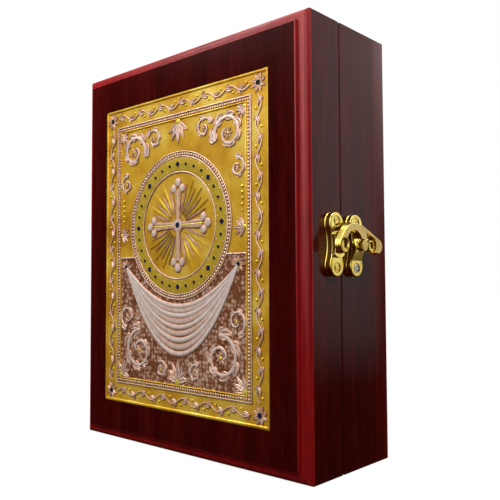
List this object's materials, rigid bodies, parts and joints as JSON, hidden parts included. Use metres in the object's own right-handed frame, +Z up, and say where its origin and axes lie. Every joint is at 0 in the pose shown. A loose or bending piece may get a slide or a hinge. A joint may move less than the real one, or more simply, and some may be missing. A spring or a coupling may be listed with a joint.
{
  "type": "icon case",
  "caption": "Upright case that opens like a book, with an ornamental plate let into its front board, side hinges, a brass hook catch and a padded lining.",
  "frame": {"origin": "on the floor, under the middle of the case without its hinges and catch", "axes": "+X to the right along the front, +Y from the front to the back, +Z up"},
  "size_m": [0.2109, 0.08, 0.25],
  "materials": {
    "dark_veneer": "glossy lacquer over dark veneer",
    "red_stain": "glossy lacquer over red stain",
    "printed_metal": "gold ground with rose-silver ornament",
    "velvet": "soft velvet over a pad",
    "brass": "polished, with ground faces",
    "plated_steel": "nickel plated"
  },
  "bodies": {
    "base": {"base_rail_clasp_side": "dark_veneer", "base_rail_top": "dark_veneer", "base_rail_hinge_side": "dark_veneer", "base_rail_bottom": "dark_veneer", "back_board": "red_stain", "base_lining_pad": "velvet", "base_leaf_upper": "brass", "base_leaf_upper_screw_upper": "brass", "base_leaf_upper_screw_lower": "brass", "base_leaf_lower": "brass", "base_leaf_lower_screw_upper": "brass", "base_leaf_lower_screw_lower": "brass", "hinge_pin_upper": "plated_steel", "hinge_pin_lower": "plated_steel", "strike_plate": "brass", "strike_screw_upper": "plated_steel", "strike_screw_lower": "plated_steel"},
    "lid": {"front_board": "dark_veneer", "icon_plate": "printed_metal", "lid_rail_clasp_side": "dark_veneer", "lid_rail_top": "dark_veneer", "lid_rail_hinge_side": "dark_veneer", "lid_rail_bottom": "dark_veneer", "lid_lining_pad": "velvet", "lid_leaf_upper": "brass", "lid_leaf_upper_screw_upper": "brass", "lid_leaf_upper_screw_lower": "brass", "lid_leaf_lower": "brass", "lid_leaf_lower_screw_upper": "brass", "lid_leaf_lower_screw_lower": "brass", "hook_plate": "brass", "hook_plate_screw_upper": "brass", "hook_plate_screw_lower": "brass", "hook_rivet": "brass"},
    "hook": {"hook": "brass"}
  },
  "joints": [
    {"name": "lid_hinge", "type": "hinge", "parent": "base", "child": "lid", "pos_m": [-0.1006, -0.008, 0.125], "axis": [0, 0, -1], "range_deg": [0, 180]},
    {"name": "hook_swing", "type": "hinge", "parent": "lid", "child": "hook", "pos_m": [0.098, -0.0175, 0.1248], "axis": [1, 0, 0], "range_deg": [0, 110]}
  ]
}
